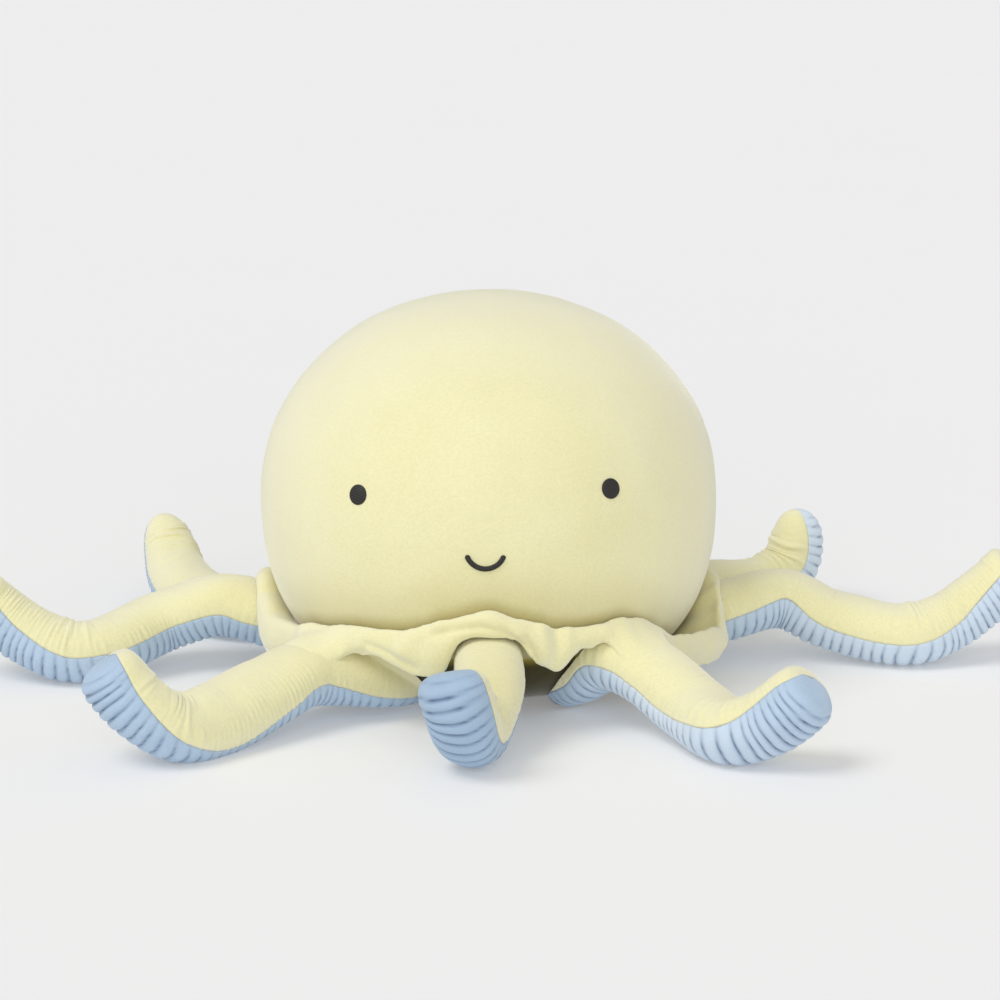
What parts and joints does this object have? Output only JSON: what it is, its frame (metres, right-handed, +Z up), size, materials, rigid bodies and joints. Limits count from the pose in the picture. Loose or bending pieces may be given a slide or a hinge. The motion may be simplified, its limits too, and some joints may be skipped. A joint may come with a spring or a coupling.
{
  "type": "weighted plush octopus",
  "caption": "Weighted plush octopus with a round domed head, dot eyes and a small smile, a ruffled skirt, and curling tentacles, smooth above and ribbed below.",
  "frame": {"origin": "centre of the flat base panel, on the surface the toy sits on", "axes": "+Z up through the crown; the face looks along -Y; +X is towards the longest tentacle, on the right as one looks at the face"},
  "size_m": [0.6689, 0.5049, 0.238],
  "materials": {
    "yellow_plush": "short soft pile, pale butter yellow",
    "blue_ribbed_plush": "short soft pile sewn in ribs, pale blue",
    "black_thread": "satin-stitch embroidery, near black",
    "polyester_fibre": "loose white fibre filling",
    "bead_pouch_cloth": "plain woven cloth bag"
  },
  "bodies": {
    "root": {"head_cover": "yellow_plush", "head_fill": "polyester_fibre", "weight_pouch": "bead_pouch_cloth", "base_panel": "blue_ribbed_plush", "skirt": "yellow_plush", "eye_left": "black_thread", "eye_right": "black_thread", "smile": "black_thread", "tentacle_1_top": "yellow_plush", "tentacle_1_underside": "blue_ribbed_plush", "tentacle_2_top": "yellow_plush", "tentacle_2_underside": "blue_ribbed_plush", "tentacle_3_top": "yellow_plush", "tentacle_3_underside": "blue_ribbed_plush", "tentacle_4_top": "yellow_plush", "tentacle_4_underside": "blue_ribbed_plush", "tentacle_5_top": "yellow_plush", "tentacle_5_underside": "blue_ribbed_plush", "tentacle_6_top": "yellow_plush", "tentacle_6_underside": "blue_ribbed_plush", "tentacle_7_top": "yellow_plush", "tentacle_7_underside": "blue_ribbed_plush", "tentacle_8_top": "yellow_plush", "tentacle_8_underside": "blue_ribbed_plush"}
  },
  "joints": []
}
